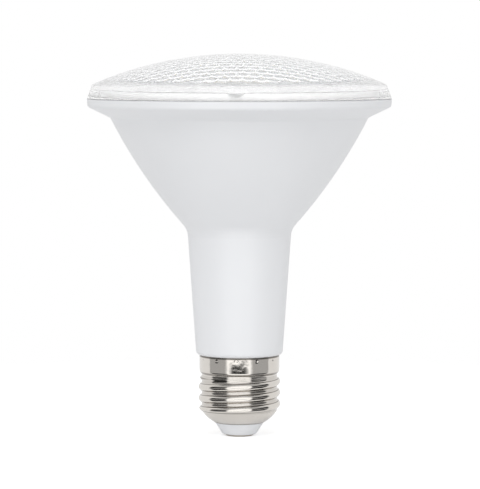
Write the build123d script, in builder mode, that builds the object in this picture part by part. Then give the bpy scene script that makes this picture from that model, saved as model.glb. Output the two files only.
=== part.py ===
from build123d import *
import os
from math import hypot, sqrt

# Par spotlight bulb: a reflector lamp with a long neck, a clear lens and an E27 screw cap.
# Millimetres. The lamp's axis is Z. The origin is the tip of the centre contact, and +Z runs
# through the cap, the neck and the cone to the lens.

# Overall form, as heights stacked from the tip to the apex of the lens
rim_diameter = 97.0
cap_height = 26.0
neck_length = 40.1
cone_height = 35.6
chamfer_height = 3.5
rim_side_height = 2.6
lens_height = 14.2

# Clearances
sliding_clearance = 0.1
resting_clearance = 0.05

# Screw cap, E27
crest_diameter = 26.15
root_diameter = 24.1
thread_pitch = 3.629
thread_bottom = 7.4
thread_top = 19.6
thread_run_out = 1.7
thread_turn = 80.0
crest_flat = 0.62
flank_break_width = 1.6
flank_break_height = 0.72
ridge_base_width = 2.9
shell_wall = 0.45
skirt_diameter = 25.5
skirt_bottom = 20.9
skirt_taper = 1.2
bowl_top = 8.2
bowl_bottom = 4.2
bowl_mouth_diameter = 15.8
bowl_bulge = 0.45
stake_count = 12
stake_diameter = 1.0
stake_depth = 0.25
stake_drop = 1.2
stake_turn = -3.0

# Insulator and centre contact
nose_diameter = 10.8
nose_round = 0.9
insulator_collar = 1.6
insulator_floor = 5.4
contact_diameter = 9.0
contact_thickness = 0.5
contact_edge = 0.2
stem_diameter = 2.6
stem_length = 6.2

# Housing
housing_wall = 1.9
neck_bottom_diameter = 27.6
neck_bottom_round = 1.3
crease_diameter = 33.2
crease_round = 6.0
flange_diameter = 82.1
flange_round = 1.2
cone_bow_radius = 162.0
rim_round = 1.2
rim_draft = 0.2
seam_chamfer = 0.3
spigot_bottom = 13.0
spigot_wall = 1.5
neck_floor = 1.5

# Lens and its seal
lens_dome_radius = 118.0
lens_wall = 2.4
lens_side_inset = 1.7
lens_inner_inset = 0.7
lens_shoulder_round = 1.8
lenslet_pitch = 3.7
lenslet_height = 0.8
lenslet_border = 3.8
rim_bore_wall = 2.0
seat_depth = 1.6
seat_width = 1.5
lip_thickness = 1.3
seal_height = 0.7
gate_width = 5.6
gate_rise = 1.3
gate_height = 2.4
gate_depth = 1.0

# Heat sink
sink_wall = 1.4
ledge_drop = 13.0
ledge_thickness = 1.6
ledge_width = 9.5
boss_diameter = 5.6
boss_height = 4.0
boss_count = 3

# Light board
led_board_thickness = 1.6
led_board_gap = 0.5
wire_hole_diameter = 7.0
led_length = 3.5
led_width = 2.8
led_height = 0.7
led_window = 2.1
led_window_depth = 0.15
led_ring_pitch = 9.0
led_screw_gap = 6.5
inner_led_count = 6
outer_led_count = 12
screw_inset = 5.2
screw_diameter = 2.9
screw_length = 6.0
screw_head_diameter = 5.2
screw_head_height = 1.9
screw_slot_width = 0.8
screw_slot_depth = 0.9

# Driver board and its rails
driver_width = 18.4
driver_thickness = 1.6
driver_height = 42.0
rail_width = 4.4
rail_height = 30.0
rail_grip = 1.2
rail_floor = 1.0

# Driver parts
input_can_diameter = 10.0
input_can_length = 16.0
input_can_rise = 5.6
output_can_diameter = 8.0
output_can_length = 12.0
can_chamfer = 0.5
core_width = 13.0
core_depth = 6.0
core_height = 12.8
core_leg = 2.0
core_centre_leg = 3.2
core_rise = 23.2
winding_thickness = 1.7
winding_gap = 0.1
choke_diameter = 8.0
choke_waist = 5.4
choke_length = 10.0
choke_flange = 1.2
choke_rise = 1.6
choke_offset = -3.6
fuse_diameter = 3.6
fuse_length = 9.0
fuse_rise = 1.6
fuse_offset = 5.4
film_width = 10.0
film_depth = 5.0
film_height = 9.0
film_rise = 13.5
film_round = 0.6
chip_length = 5.0
chip_width = 4.0
chip_height = 1.5
chip_rise = 27.0
chip_offset = 4.4
chip_leg_width = 0.42
chip_leg_pitch = 1.27
chip_leg_reach = 1.0
chip_leg_height = 0.5
bridge_length = 4.7
bridge_width = 3.9
bridge_leg_pitch = 2.5
bridge_leg_width = 0.7

# Leads
lead_diameter = 1.2
lead_bend = 1.3
lead_pad_length = 4.0
live_lead_lean = 0.3
mains_lead_offset = 5.0
led_lead_gap = 1.6
led_pad_reach = 4.6
notch_height = 3.4
notch_clearance = 0.4

# Worked-out sizes
crease_height = cap_height + neck_length
flange_height = crease_height + cone_height
chamfer_top = flange_height + chamfer_height
rim_top = chamfer_top + rim_side_height
overall_length = rim_top + lens_height
crest_radius = crest_diameter / 2
root_radius = root_diameter / 2
skirt_radius = skirt_diameter / 2
bore_radius = root_radius - shell_wall
skirt_bore_radius = skirt_radius - shell_wall
mouth_radius = bowl_mouth_diameter / 2
rim_radius = rim_diameter / 2
rim_bore_radius = rim_radius - rim_bore_wall
seat_height = rim_top - seat_depth
seat_radius = rim_bore_radius - seat_width
lip_radius = rim_bore_radius - sliding_clearance
lip_bottom = seat_height + seal_height
spigot_radius = bore_radius - sliding_clearance
spigot_bore_radius = spigot_radius - spigot_wall
crease_radius = crease_diameter / 2
flange_radius = flange_diameter / 2
neck_inner_floor = cap_height + neck_floor

# The cone's outline is one arc from the neck's crease to the flange, bowed outwards
cone_spread = flange_radius - crease_radius
cone_chord = hypot(cone_height, cone_spread)
bow_reach = sqrt(cone_bow_radius**2 - (cone_chord / 2) ** 2)
bow_centre_radius = (crease_radius + flange_radius) / 2 - bow_reach * cone_height / cone_chord
bow_centre_height = (crease_height + flange_height) / 2 + bow_reach * cone_spread / cone_chord


def cone_point(height, inset):
    """Point (radius, height) on the cone's arc, moved inwards by inset."""
    drop = bow_centre_height - height
    return (bow_centre_radius + sqrt((cone_bow_radius - inset) ** 2 - drop**2), height)


def cone_arc(bottom, top, inset):
    """Arc of the cone's outline between two heights, moved inwards by inset."""
    middle = (bottom + top) / 2
    return ThreePointArc(cone_point(bottom, inset), cone_point(middle, inset), cone_point(top, inset))


def dome_height(radius, depth):
    """Height of the lens dome at a radius, at a depth below its outer face."""
    return overall_length - lens_dome_radius + sqrt((lens_dome_radius - depth) ** 2 - radius**2)


# The inner faces of the cone lie one wall inside the outer ones, square to the cone's middle
wall_lift = housing_wall * cone_spread / cone_chord
inner_crease_height = crease_height + wall_lift
inner_flange_height = flange_height + wall_lift


def cavity_outline(inset):
    """Half-section of the space inside the housing, when its neck and cone walls are inset thick."""
    inner_neck_radius = neck_bottom_diameter / 2 - inset
    lowest = spigot_bottom - neck_floor
    highest = rim_top + neck_floor
    with BuildLine() as outline:
        arc = cone_arc(inner_crease_height, inner_flange_height, inset)
        Polyline(
            arc @ 0,
            (inner_neck_radius, neck_inner_floor),
            (spigot_bore_radius, neck_inner_floor),
            (spigot_bore_radius, lowest),
            (0, lowest),
            (0, highest),
            (rim_bore_radius, highest),
            (rim_bore_radius, seat_height),
            (seat_radius, seat_height),
            arc @ 1,
        )
    return outline.line


# Driver board, upright in the neck, on the floor of its rails
driver_bottom = neck_inner_floor + rail_floor
driver_top = driver_bottom + driver_height
front = -driver_thickness / 2 - resting_clearance
back = driver_thickness / 2 + resting_clearance
with BuildPart() as driver_board:
    with Locations((0, 0, driver_bottom + driver_height / 2)):
        Box(driver_width, driver_thickness, driver_height)
driver_board.part.label = "driver_board"

# Two rails run up the neck's wall, each with a slot for one edge of the driver board
rail_reach = neck_bottom_diameter / 2 + crease_radius
with BuildPart() as rails:
    with BuildSketch(Plane.XY.offset(neck_inner_floor)):
        Rectangle(rail_reach, rail_width)
        Rectangle(driver_width - 2 * rail_grip, rail_width, mode=Mode.SUBTRACT)
    extrude(amount=rail_height)
    with BuildSketch(Plane.XY.offset(driver_bottom)):
        Rectangle(driver_width + 2 * sliding_clearance, driver_thickness + 2 * sliding_clearance)
    extrude(amount=rail_height, mode=Mode.SUBTRACT)
    with BuildSketch(Plane.XZ):
        make_face(cavity_outline(housing_wall / 2))
    revolve(axis=Axis.Z, mode=Mode.INTERSECT)

# Housing: rim, cone, neck and spigot in one moulding
neck_bottom_radius = neck_bottom_diameter / 2
spigot_step = skirt_bottom + skirt_taper
lead_front = front - lead_diameter / 2
notch_middle = spigot_bottom + notch_height / 2
with BuildPart() as housing:
    with BuildSketch(Plane.XZ):
        with BuildLine():
            arc = cone_arc(crease_height, flange_height, 0)
            Polyline(
                arc @ 1,
                (rim_radius - rim_draft, chamfer_top),
                (rim_radius, rim_top - seam_chamfer),
                (rim_radius - seam_chamfer, rim_top),
                (0, rim_top),
                (0, spigot_bottom),
                (spigot_radius, spigot_bottom),
                (spigot_radius, spigot_step),
                (skirt_bore_radius - sliding_clearance, spigot_step),
                (skirt_bore_radius - sliding_clearance, cap_height),
                (neck_bottom_radius, cap_height),
                arc @ 0,
            )
        make_face()
        fillet(vertices().sort_by_distance((neck_bottom_radius, cap_height))[0], neck_bottom_round)
        fillet(vertices().sort_by_distance((crease_radius, crease_height))[0], crease_round)
        fillet(vertices().sort_by_distance((flange_radius, flange_height))[0], flange_round)
        fillet(vertices().sort_by_distance((rim_radius, chamfer_top))[0], rim_round)
    revolve(axis=Axis.Z)
    with BuildSketch(Plane.XZ):
        make_face(cavity_outline(housing_wall))
    revolve(axis=Axis.Z, mode=Mode.SUBTRACT)
    add(rails.part)
    # Notch in the spigot's lower edge, where the neutral lead passes out to the shell
    with Locations((-spigot_radius, lead_front, notch_middle)):
        Box(4 * spigot_wall, lead_diameter + 2 * notch_clearance, notch_height, mode=Mode.SUBTRACT)
housing.part.label = "housing"

# Screw shell: thin sheet with a plain skirt, a rolled thread and a bowl-shaped lower end
with BuildPart() as thread_ridge:
    with BuildLine() as helix:
        Helix(thread_pitch, thread_top - thread_bottom, root_radius, center=(0, 0, thread_bottom))
    ridge_height = crest_radius - root_radius
    with BuildSketch(Plane(origin=helix.line @ 0, x_dir=(1, 0, 0), z_dir=helix.line % 0)):
        with BuildLine():
            Polyline(
                (-shell_wall / 2, -ridge_base_width / 2),
                (0, -ridge_base_width / 2),
                (flank_break_height, -flank_break_width / 2),
                (ridge_height, -crest_flat / 2),
                (ridge_height, crest_flat / 2),
                (flank_break_height, flank_break_width / 2),
                (0, ridge_base_width / 2),
                (-shell_wall / 2, ridge_base_width / 2),
                close=True,
            )
        make_face()
    sweep(is_frenet=True)
    # The ridge fades out at both ends
    with BuildSketch(Plane.XZ):
        with BuildLine():
            Polyline(
                (bore_radius, thread_bottom),
                (root_radius, thread_bottom),
                (crest_radius, thread_bottom + thread_run_out),
                (crest_radius + ridge_height, thread_bottom + 2 * thread_run_out),
                (crest_radius + ridge_height, thread_top - 2 * thread_run_out),
                (crest_radius, thread_top - thread_run_out),
                (root_radius, thread_top),
                (bore_radius, thread_top),
                close=True,
            )
        make_face()
    revolve(axis=Axis.Z, mode=Mode.INTERSECT)

with BuildPart() as screw_shell:
    with BuildSketch(Plane.XZ):
        with BuildLine():
            bowl = SagittaArc((root_radius, bowl_top), (mouth_radius, bowl_bottom), bowl_bulge)
            Polyline(
                bowl @ 1,
                (mouth_radius, bowl_bottom + shell_wall),
                (bore_radius, bowl_top + shell_wall / 2),
                (bore_radius, skirt_bottom - skirt_taper),
                (skirt_bore_radius, skirt_bottom),
                (skirt_bore_radius, cap_height),
                (skirt_radius, cap_height),
                (skirt_radius, skirt_bottom),
                (root_radius, skirt_bottom - skirt_taper),
                bowl @ 0,
            )
        make_face()
    revolve(axis=Axis.Z)
    with Locations(Rotation(0, 0, thread_turn)):
        add(thread_ridge.part)
    # Pointed staking dents that lock the shell to the spigot
    with Locations((0, 0, cap_height - stake_drop)):
        with PolarLocations(skirt_radius, stake_count, stake_turn):
            Cone(stake_diameter, 0, 2 * stake_depth, rotation=(0, -90, 0), mode=Mode.SUBTRACT)
screw_shell.part.label = "screw_shell"

# Insulator: a plug that fills the shell's bowl and stands out below it as the nose
plug_radius = bore_radius - sliding_clearance
nose_top_radius = mouth_radius - sliding_clearance
plug_shoulder = bowl_top + shell_wall + sliding_clearance
stem_hole_radius = stem_diameter / 2 + resting_clearance
with BuildPart() as cap_insulator:
    with BuildSketch(Plane.XZ):
        with BuildLine():
            Polyline(
                (nose_top_radius, bowl_bottom + shell_wall + sliding_clearance),
                (plug_radius, plug_shoulder),
                (plug_radius, plug_shoulder + insulator_collar),
                (plug_radius - insulator_collar, plug_shoulder + insulator_collar),
                (nose_top_radius - insulator_collar, insulator_floor),
                (stem_hole_radius, insulator_floor),
                (stem_hole_radius, contact_thickness),
                (nose_diameter / 2, contact_thickness),
                (nose_top_radius, bowl_bottom),
                close=True,
            )
        make_face()
        fillet(vertices().sort_by_distance((nose_diameter / 2, contact_thickness))[0], nose_round)
    revolve(axis=Axis.Z)
cap_insulator.part.label = "cap_insulator"

# Centre contact: a button at the tip, with a stem pressed through the insulator
with BuildPart() as centre_contact:
    Cylinder(contact_diameter / 2, contact_thickness, align=(Align.CENTER, Align.CENTER, Align.MIN))
    chamfer(edges().sort_by(Axis.Z)[0], contact_edge)
    Cylinder(stem_diameter / 2, stem_length, align=(Align.CENTER, Align.CENTER, Align.MIN))
centre_contact.part.label = "centre_contact"

# Seal: a silicone ring on the rim's seat, under the lip of the lens
with BuildPart() as lens_seal:
    with BuildSketch(Plane.XY.offset(seat_height)):
        Circle(lip_radius)
        Circle(lip_radius - lip_thickness, mode=Mode.SUBTRACT)
    extrude(amount=seal_height)
lens_seal.part.label = "lens_seal"

# Lenslets: the hollow under the lens, topped by a field of six-sided pyramids that spread the light
side_top_radius = rim_radius - lens_side_inset
lip_inner_radius = lip_radius - lip_thickness
inner_dome_radius = lip_inner_radius - lens_inner_inset
field_radius = inner_dome_radius - lenslet_border
tip_depth = lens_wall + lenslet_height
cell_radius = lenslet_pitch / sqrt(3)
row_pitch = lenslet_pitch * sqrt(3) / 2
field_rows = int(field_radius / row_pitch) + 1


def under_dome(point, depth):
    """The point moved to a depth below the outer face of the dome."""
    return Vector(point.X, point.Y, dome_height(point.length, depth))


def on_seat(point):
    """The point moved to the height of the lens seat."""
    return Vector(point.X, point.Y, seat_height)


facets = []
border = {}
for row in range(-field_rows, field_rows + 1):
    for column in range(-field_rows, field_rows + 1):
        centre = Vector((column + row % 2 / 2) * lenslet_pitch, row * row_pitch)
        if centre.length + cell_radius > field_radius:
            continue
        corners = [centre + Vector(0, cell_radius).rotate(Axis.Z, 60 * turn) for turn in range(6)]
        facets.append([on_seat(corner) for corner in corners])
        for start, end in zip(corners, corners[1:] + corners[:1]):
            rim_edge = [under_dome(start, lens_wall), under_dome(end, lens_wall)]
            facets.append([under_dome(centre, tip_depth)] + rim_edge)
            # An edge that two cells share runs both ways and is inside the field
            ends = tuple((round(corner.X, 3), round(corner.Y, 3)) for corner in (start, end))
            if border.pop(ends[::-1], None) is None:
                border[ends] = rim_edge + [on_seat(end), on_seat(start)]
facets += border.values()
with BuildPart() as lenslet_hollow:
    add(Solid(Shell([Face(Wire.make_polygon(facet)) for facet in facets])))

# Lens: a shallow dome on a drafted side wall, with a lip that drops into the rim
border_depth = tip_depth + resting_clearance
with BuildPart() as lens:
    with BuildSketch(Plane.XZ):
        with BuildLine():
            dome = ThreePointArc(
                (0, overall_length),
                (side_top_radius / 2, dome_height(side_top_radius / 2, 0)),
                (side_top_radius, dome_height(side_top_radius, 0)),
            )
            inner_dome = ThreePointArc(
                (0, overall_length - border_depth),
                (inner_dome_radius / 2, dome_height(inner_dome_radius / 2, border_depth)),
                (inner_dome_radius, dome_height(inner_dome_radius, border_depth)),
            )
            Line(dome @ 0, inner_dome @ 0)
            Polyline(
                inner_dome @ 1,
                (lip_inner_radius, rim_top),
                (lip_inner_radius, lip_bottom),
                (lip_radius, lip_bottom),
                (lip_radius, rim_top),
                (rim_radius - seam_chamfer, rim_top),
                (rim_radius, rim_top + seam_chamfer),
                dome @ 1,
            )
        make_face()
        fillet(vertices().sort_by_distance(dome @ 1)[0], lens_shoulder_round)
    revolve(axis=Axis.Z)
    add(lenslet_hollow.part, mode=Mode.SUBTRACT)
    # Half-moon recess at the front, flat side up, where the moulding gate was trimmed
    gate_top = rim_top + gate_height
    with BuildSketch(Plane.XZ.offset(rim_radius - gate_depth)):
        with BuildLine():
            gate_curve = ThreePointArc(
                (-gate_width / 2, gate_top),
                (0, gate_top - gate_rise),
                (gate_width / 2, gate_top),
            )
            Line(gate_curve @ 0, gate_curve @ 1)
        make_face()
    extrude(amount=gate_depth * 2, mode=Mode.SUBTRACT)
lens.part.label = "lens"

# Heat sink: an aluminium cup against the cone's wall, with a ledge and bosses for the light board
sink_outer_inset = housing_wall + sliding_clearance
sink_inner_inset = sink_outer_inset + sink_wall
ledge_height = inner_flange_height - ledge_drop
ledge_radius = cone_point(ledge_height, sink_inner_inset)[0]
led_board_top = ledge_height + led_board_thickness
ledge_underside = ledge_height - ledge_thickness
led_board_radius = ledge_radius - led_board_gap
screw_circle_radius = led_board_radius - screw_inset
with BuildPart() as heat_sink:
    with BuildSketch(Plane.XZ):
        with BuildLine():
            outer = cone_arc(inner_crease_height, led_board_top, sink_outer_inset)
            inner = cone_arc(inner_crease_height, led_board_top, sink_inner_inset)
            Line(outer @ 0, inner @ 0)
            Line(outer @ 1, inner @ 1)
        make_face()
        with Locations((ledge_radius + sink_wall / 2, ledge_height)):
            Rectangle(ledge_width, ledge_thickness, align=(Align.MAX, Align.MAX))
    revolve(axis=Axis.Z)
    with BuildSketch(Plane.XY.offset(ledge_underside)):
        with PolarLocations(screw_circle_radius, boss_count, 90):
            Circle(boss_diameter / 2)
    extrude(amount=-boss_height)
    with Locations((0, 0, ledge_height)):
        with PolarLocations(screw_circle_radius, boss_count, 90):
            Hole(screw_diameter / 2 + resting_clearance, ledge_thickness + boss_height + resting_clearance)
heat_sink.part.label = "heat_sink"

# Light board: a metal-core disc on the ledge
with BuildPart() as led_board:
    with BuildSketch(Plane.XY.offset(ledge_height)):
        Circle(led_board_radius)
        Circle(wire_hole_diameter / 2, mode=Mode.SUBTRACT)
        with PolarLocations(screw_circle_radius, boss_count, 90):
            Circle(screw_diameter / 2 + sliding_clearance, mode=Mode.SUBTRACT)
    extrude(amount=led_board_thickness)
led_board.part.label = "led_board"

# Light-emitting packages in two rings, each with its phosphor window sunk in the top
outer_led_radius = screw_circle_radius - led_screw_gap
inner_led_radius = outer_led_radius - led_ring_pitch
led_rings = {inner_led_radius: inner_led_count, outer_led_radius: outer_led_count}
with BuildPart() as leds:
    for ring_radius, ring_count in led_rings.items():
        with Locations((0, 0, led_board_top)):
            with PolarLocations(ring_radius, ring_count):
                Box(led_length, led_width, led_height, align=(Align.CENTER, Align.CENTER, Align.MIN))
        with Locations((0, 0, led_board_top + led_height)):
            with PolarLocations(ring_radius, ring_count):
                Box(
                    led_window,
                    led_window,
                    2 * led_window_depth,
                    mode=Mode.SUBTRACT,
                )
leds.part.label = "leds"

# Pan-head screws with crossed slots
with BuildPart() as board_screws:
    with BuildSketch(Plane.XY.offset(led_board_top)):
        with PolarLocations(screw_circle_radius, boss_count, 90):
            Circle(screw_diameter / 2)
    extrude(amount=-screw_length)
    with BuildSketch(Plane.XY.offset(led_board_top)):
        with PolarLocations(screw_circle_radius, boss_count, 90):
            Circle(screw_head_diameter / 2)
    extrude(amount=screw_head_height)
    with BuildSketch(Plane.XY.offset(led_board_top + screw_head_height)):
        with PolarLocations(screw_circle_radius, boss_count, 90):
            Rectangle(screw_head_diameter / 2, screw_slot_width)
            Rectangle(screw_slot_width, screw_head_diameter / 2)
    extrude(amount=-screw_slot_depth, mode=Mode.SUBTRACT)
board_screws.part.label = "board_screws"

# Capacitor cans lie flat on the driver board, the input one in front and the output one behind
with BuildPart() as input_capacitor:
    with Locations((0, front - input_can_diameter / 2, driver_bottom + input_can_rise)):
        Cylinder(
            input_can_diameter / 2,
            input_can_length,
            align=(Align.CENTER, Align.CENTER, Align.MIN),
        )
    chamfer(edges().filter_by(GeomType.CIRCLE), can_chamfer)
input_capacitor.part.label = "input_capacitor"

with BuildPart() as output_capacitor:
    with Locations((0, back + output_can_diameter / 2, driver_top)):
        Cylinder(
            output_can_diameter / 2,
            output_can_length,
            align=(Align.CENTER, Align.CENTER, Align.MAX),
        )
    chamfer(edges().filter_by(GeomType.CIRCLE), can_chamfer)
output_capacitor.part.label = "output_capacitor"

# Transformer: a ferrite core of two windows, and the winding round its centre leg
window_width = (core_width - core_centre_leg) / 2 - core_leg
window_height = core_height - 2 * core_leg
core_middle = driver_bottom + core_rise + core_height / 2
winding_depth = core_depth + 2 * winding_gap + 2 * winding_thickness
winding_width = core_centre_leg + 2 * window_width - 2 * winding_gap
core_setback = front - winding_depth / 2
with BuildPart() as transformer_core:
    with Locations((0, core_setback, core_middle)):
        Box(core_width, core_depth, core_height)
        with GridLocations(core_centre_leg + window_width, 1, 2, 1):
            Box(window_width, core_depth, window_height, mode=Mode.SUBTRACT)
transformer_core.part.label = "transformer_core"

with BuildPart() as transformer_winding:
    with Locations((0, core_setback, core_middle)):
        Box(winding_width, winding_depth, window_height - 2 * winding_gap)
        fillet(edges().filter_by(Axis.Z), winding_thickness)
        Box(
            core_centre_leg + 2 * winding_gap,
            core_depth + 2 * winding_gap,
            core_height,
            mode=Mode.SUBTRACT,
        )
transformer_winding.part.label = "transformer_winding"

# Filter choke: a waisted drum
choke_bottom = driver_bottom + choke_rise
with BuildPart() as filter_choke:
    with BuildSketch(Plane.XY.offset(choke_bottom)):
        with Locations((choke_offset, back + choke_diameter / 2)):
            Circle(choke_diameter / 2)
    extrude(amount=choke_length)
    with BuildSketch(Plane.XY.offset(choke_bottom + choke_flange)):
        with Locations((choke_offset, back + choke_diameter / 2)):
            Circle(choke_diameter / 2 + sliding_clearance)
            Circle(choke_waist / 2, mode=Mode.SUBTRACT)
    extrude(amount=choke_length - 2 * choke_flange, mode=Mode.SUBTRACT)
filter_choke.part.label = "filter_choke"

# Fuse resistor in the live line
with BuildPart() as fuse_resistor:
    with Locations((fuse_offset, back + fuse_diameter / 2, driver_bottom + fuse_rise)):
        Cylinder(fuse_diameter / 2, fuse_length, align=(Align.CENTER, Align.CENTER, Align.MIN))
fuse_resistor.part.label = "fuse_resistor"

# Film capacitor in its box
with BuildPart() as film_capacitor:
    with Locations((0, back + film_depth / 2, driver_bottom + film_rise + film_height / 2)):
        Box(film_width, film_depth, film_height)
    fillet(edges().filter_by(Axis.Y), film_round)
film_capacitor.part.label = "film_capacitor"

# Flat packages on the back of the driver board, each on its bent legs
chip_face = Plane.XZ.offset(-back)
chip_level = driver_bottom + chip_rise
with BuildPart() as driver_chip:
    with BuildSketch(chip_face):
        with Locations((chip_offset, chip_level)):
            Rectangle(chip_width, chip_length)
    extrude(amount=-chip_height)
    with BuildSketch(chip_face):
        with Locations((chip_offset, chip_level)):
            with GridLocations(chip_width + chip_leg_reach, chip_leg_pitch, 2, 4):
                Rectangle(chip_leg_reach, chip_leg_width)
    extrude(amount=-chip_leg_height)
driver_chip.part.label = "driver_chip"

with BuildPart() as bridge_rectifier:
    with BuildSketch(chip_face):
        with Locations((-chip_offset, chip_level)):
            Rectangle(bridge_width, bridge_length)
    extrude(amount=-chip_height)
    with BuildSketch(chip_face):
        with Locations((-chip_offset, chip_level)):
            with GridLocations(bridge_width + chip_leg_reach, bridge_leg_pitch, 2, 2):
                Rectangle(chip_leg_reach, bridge_leg_width)
    extrude(amount=-chip_leg_height)
bridge_rectifier.part.label = "bridge_rectifier"

# Leads: each lies on a pad of the driver board and runs to its terminal
mains_pad_top = driver_bottom + lead_pad_length
led_pad_bottom = driver_top - lead_pad_length
lead_over_board = led_board_top + resting_clearance + lead_diameter / 2
led_pad_end = led_lead_gap + led_pad_reach
shell_end = sqrt(bore_radius**2 - (lead_diameter / 2 - lead_front) ** 2) - resting_clearance
routes = {
    "live_lead": (
        (0, lead_front - live_lead_lean, mains_pad_top),
        (0, 0, stem_length + resting_clearance),
    ),
    "neutral_lead": (
        (-mains_lead_offset, lead_front, mains_pad_top),
        (-mains_lead_offset, lead_front, notch_middle),
        (-shell_end, lead_front, notch_middle),
    ),
    "led_lead_positive": (
        (led_lead_gap, lead_front, led_pad_bottom),
        (led_lead_gap, lead_front, lead_over_board),
        (led_pad_end, lead_front, lead_over_board),
    ),
    "led_lead_negative": (
        (-led_lead_gap, lead_front, led_pad_bottom),
        (-led_lead_gap, lead_front, lead_over_board),
        (-led_pad_end, lead_front, lead_over_board),
    ),
}
leads = []
for name, route in routes.items():
    with BuildPart() as lead:
        with BuildLine() as path:
            if len(route) == 2:
                Line(*route)
            else:
                FilletPolyline(*route, radius=lead_bend)
        with BuildSketch(Plane(origin=path.line @ 0, z_dir=path.line % 0)):
            Circle(lead_diameter / 2)
        sweep()
    lead.part.label = name
    leads.append(lead.part)

# One file for each piece
os.makedirs("parts", exist_ok=True)
pieces = [
    lens.part,
    lens_seal.part,
    housing.part,
    heat_sink.part,
    led_board.part,
    leds.part,
    board_screws.part,
    driver_board.part,
    input_capacitor.part,
    output_capacitor.part,
    transformer_core.part,
    transformer_winding.part,
    filter_choke.part,
    film_capacitor.part,
    bridge_rectifier.part,
    driver_chip.part,
    fuse_resistor.part,
    screw_shell.part,
    cap_insulator.part,
    centre_contact.part,
]
for piece in pieces + leads:
    export_step(piece, f"parts/{piece.label}.step")
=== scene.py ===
from math import atan2, cos, hypot, pi, radians, sin, sqrt

import bmesh
import bpy
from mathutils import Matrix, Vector


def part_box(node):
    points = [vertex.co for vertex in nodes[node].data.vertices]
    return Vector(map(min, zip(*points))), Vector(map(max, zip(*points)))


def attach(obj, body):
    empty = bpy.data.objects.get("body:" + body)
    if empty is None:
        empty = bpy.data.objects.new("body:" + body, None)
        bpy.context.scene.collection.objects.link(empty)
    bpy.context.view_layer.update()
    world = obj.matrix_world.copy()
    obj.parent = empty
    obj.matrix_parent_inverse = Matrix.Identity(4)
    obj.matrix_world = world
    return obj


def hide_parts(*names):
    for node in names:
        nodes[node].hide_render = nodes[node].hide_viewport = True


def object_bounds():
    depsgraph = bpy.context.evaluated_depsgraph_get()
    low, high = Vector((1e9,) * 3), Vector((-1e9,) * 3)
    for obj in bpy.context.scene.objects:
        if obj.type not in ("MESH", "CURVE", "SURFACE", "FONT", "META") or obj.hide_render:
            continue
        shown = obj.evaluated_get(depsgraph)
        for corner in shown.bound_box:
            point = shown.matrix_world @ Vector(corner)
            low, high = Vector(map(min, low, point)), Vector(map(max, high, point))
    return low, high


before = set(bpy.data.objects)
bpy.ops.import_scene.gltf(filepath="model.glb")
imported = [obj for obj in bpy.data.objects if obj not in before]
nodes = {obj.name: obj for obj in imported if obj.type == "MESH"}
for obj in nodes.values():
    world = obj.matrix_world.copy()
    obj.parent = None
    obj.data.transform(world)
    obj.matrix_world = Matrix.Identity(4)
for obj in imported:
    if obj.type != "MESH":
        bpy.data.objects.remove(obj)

# %% [markdown]
# # A reflector lamp with a lenslet lens
#
# The frame holds the lamp's solids, in metres, with the lamp's axis on Z and the tip of its centre
# contact at the origin. This lesson dresses them: it keeps the solids whose shape is right, builds a
# finer lens and a smoother screw shell over two of them, and gives every surface its finish. The box
# of the bare solids is kept here, because the dressed lamp has to stay inside it.

# %% Read the frame
mm = 0.001
cad_low, cad_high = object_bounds()
lens_low, lens_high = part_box("lens")
shell_low, shell_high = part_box("screw_shell")
for plain in list(bpy.data.materials):
    bpy.data.materials.remove(plain)
print("solids:", len(nodes), "box in mm:", [round(v / mm, 2) for v in (*cad_low, *cad_high)])

# %% [markdown]
# ## The camera
#
# The lamp was photographed from about a metre, just above the rim: the rim's edge looks almost
# straight, and each ring further down looks rounder. That is perspective, and it fixes the distance
# and height of the camera. The lens length then follows from how tall the lamp stands in the picture.
# The lens's gate mark shows just left of the middle, so the camera stands a degree or so to the right.
# A Blender camera has 36 mm of sensor along the picture's longer side.

# %% Set up the camera
image_width, image_height = 480, 489
focal_pixels = 2983.0
axis_column, aim_row = 239.4, 245.1
camera_distance = 950 * mm
camera_turn = radians(1.3)
camera_height = 126 * mm
aim_height = 61 * mm

camera = bpy.data.objects.new("camera", bpy.data.cameras.new("camera"))
bpy.context.scene.collection.objects.link(camera)
camera.data.sensor_width = 36.0
camera.data.lens = focal_pixels * camera.data.sensor_width / image_height
camera.data.shift_x = (image_width / 2 - axis_column) / image_height
camera.data.shift_y = (aim_row - image_height / 2) / image_height
off_axis = camera_distance * sin(camera_turn)
camera.location = (off_axis, -camera_distance * cos(camera_turn), camera_height)
aim = Vector((0, 0, aim_height)) - camera.location
camera.rotation_euler = aim.to_track_quat("-Z", "Y").to_euler()
bpy.context.scene.camera = camera
print("focal length", round(camera.data.lens, 1), "mm")

# %% [markdown]
# ## Writing nodes as expressions
#
# Materials and Geometry Nodes are both node trees. Placing nodes one by one makes long scripts that
# hide the formula, so a small class wraps a socket and turns Python's operators into Math nodes.
# Every other kind of node comes from one method, which takes its settings first, because a setting
# can change which sockets a node has.


# %% Define the node helpers
class Term:
    """A socket that can be used in arithmetic."""

    def __init__(self, graph, socket):
        self.graph = graph
        self.socket = socket

    def math(self, operation, *others, first=None):
        values = (self, *others) if first is None else (first, self)
        return self.graph.add("ShaderNodeMath", {"operation": operation}, dict(enumerate(values)))

    def __add__(self, other):
        return self.math("ADD", other)

    def __sub__(self, other):
        return self.math("SUBTRACT", other)

    def __mul__(self, other):
        return self.math("MULTIPLY", other)

    def __truediv__(self, other):
        return self.math("DIVIDE", other)

    def __pow__(self, other):
        return self.math("POWER", other)

    def __rsub__(self, other):
        return self.math("SUBTRACT", first=other)

    def __rtruediv__(self, other):
        return self.math("DIVIDE", first=other)

    __radd__ = __add__
    __rmul__ = __mul__


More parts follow.
